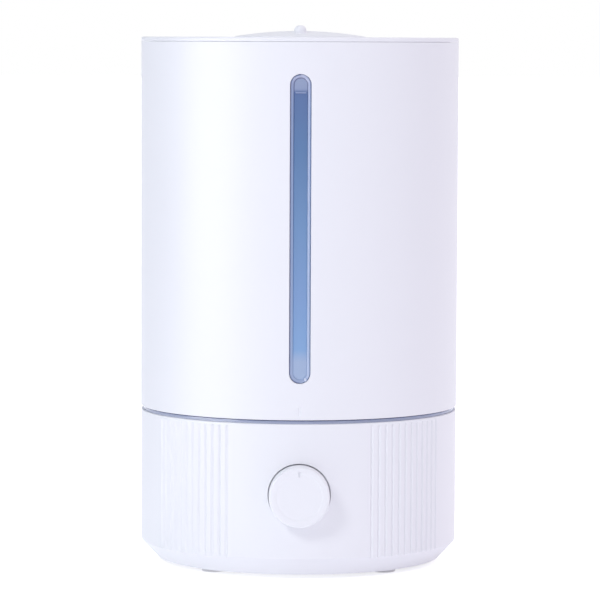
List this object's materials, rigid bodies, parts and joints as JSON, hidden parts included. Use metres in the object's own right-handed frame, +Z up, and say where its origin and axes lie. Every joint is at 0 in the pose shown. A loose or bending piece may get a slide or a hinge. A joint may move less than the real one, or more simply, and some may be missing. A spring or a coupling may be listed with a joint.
{
  "type": "cool mist humidifier",
  "caption": "Round white cool mist humidifier: fluted base with a dial, lift-off tank with a blue level window, flat lid and a low turning mist outlet.",
  "frame": {"origin": "on the body's upright axis, in the plane of the feet's undersides", "axes": "+Z up along the body's axis, -Y to the front where the dial and the window are, +X to the right seen from the front"},
  "size_m": [0.196, 0.207, 0.332],
  "materials": {
    "white_plastic": "satin moulded",
    "inner_white_plastic": "matt moulded",
    "blue_clear_plastic": "clear polished",
    "window_plastic": "clear polished",
    "grey_rubber": "matt",
    "pale_rubber": "matt",
    "silicone": "matt",
    "black_plastic": "matt moulded",
    "nylon": "matt moulded",
    "steel": "zinc plated",
    "brass": "plain",
    "aluminium": "extruded",
    "ceramic_disc": "plated",
    "board_green": "solder mask",
    "copper_coil": "enamelled",
    "capacitor_sleeve": "shrink sleeve",
    "magnet": "sintered",
    "reed_glass": "clear",
    "foam": "open cell",
    "lead_jacket": "matt"
  },
  "bodies": {
    "base": {"base_housing": "white_plastic", "bottom_cover": "inner_white_plastic", "rubber_feet": "pale_rubber", "case_screws": "steel", "water_tray": "inner_white_plastic", "mist_well": "inner_white_plastic", "air_riser": "inner_white_plastic", "tray_gasket": "silicone", "transducer_disc": "ceramic_disc", "transducer_gasket": "grey_rubber", "transducer_retainer": "inner_white_plastic", "retainer_screws": "steel", "float_cap": "inner_white_plastic", "reed_switch": "reed_glass", "fan_frame": "black_plastic", "fan_screws": "steel", "air_duct": "inner_white_plastic", "intake_filter": "foam", "driver_board": "board_green", "board_screws": "steel", "heatsink": "aluminium", "power_transistor": "black_plastic", "capacitors": "capacitor_sleeve", "inductor_coil": "copper_coil", "driver_chips": "black_plastic", "board_connectors": "nylon", "control_board": "board_green", "potentiometer": "steel", "pot_nut": "steel", "dc_jack": "black_plastic", "dc_jack_pin": "brass", "dc_jack_nut": "steel", "fan_lead": "lead_jacket", "transducer_lead": "lead_jacket", "control_lead": "lead_jacket", "power_lead": "lead_jacket"},
    "dial": {"knob": "white_plastic", "pot_shaft": "aluminium"},
    "fan_rotor": {"fan_rotor": "black_plastic", "fan_shaft": "steel"},
    "float": {"float": "inner_white_plastic", "float_magnet": "magnet"},
    "tank": {"inner_tank": "blue_clear_plastic", "tank_floor": "blue_clear_plastic", "outer_sleeve": "white_plastic", "window_lens": "window_plastic", "mist_tube": "blue_clear_plastic", "mist_tube_seal": "silicone", "mist_tube_nut": "inner_white_plastic", "valve_cap": "inner_white_plastic", "valve_cap_gasket": "silicone", "valve_cap_screws": "steel", "valve_spring": "steel"},
    "tank_valve": {"valve_plunger": "inner_white_plastic", "valve_seal": "silicone"},
    "lid": {"lid": "white_plastic", "lid_gasket": "silicone", "lid_duct": "inner_white_plastic"},
    "nozzle": {"mist_nozzle": "white_plastic", "nozzle_retainer": "inner_white_plastic"}
  },
  "joints": [
    {"name": "tank_lift", "type": "slide", "parent": "base", "child": "tank", "axis": [0, 0, 1], "range_m": [0, 0.08]},
    {"name": "valve_travel", "type": "slide", "parent": "tank", "child": "tank_valve", "axis": [0, 0, 1], "range_m": [-0.004, 0], "deforming": ["valve_spring"]},
    {"name": "lid_lift", "type": "slide", "parent": "tank", "child": "lid", "axis": [0, 0, 1], "range_m": [0, 0.06]},
    {"name": "nozzle_turn", "type": "hinge", "parent": "lid", "child": "nozzle", "pos_m": [0, 0, 0.325], "axis": [0, 0, 1], "continuous": true},
    {"name": "dial_turn", "type": "hinge", "parent": "base", "child": "dial", "pos_m": [0, -0.1, 0.0523], "axis": [0, 1, 0], "range_deg": [-150, 150]},
    {"name": "float_rise", "type": "slide", "parent": "base", "child": "float", "axis": [0, 0, 1], "range_m": [0, 0.006]},
    {"name": "fan_spin", "type": "hinge", "parent": "base", "child": "fan_rotor", "pos_m": [-0.048, 0, 0.02], "axis": [0, 0, 1], "continuous": true}
  ],
  "couplings": [
    {"joint": "valve_travel", "follows": "tank_lift", "ratio": -0.05}
  ]
}
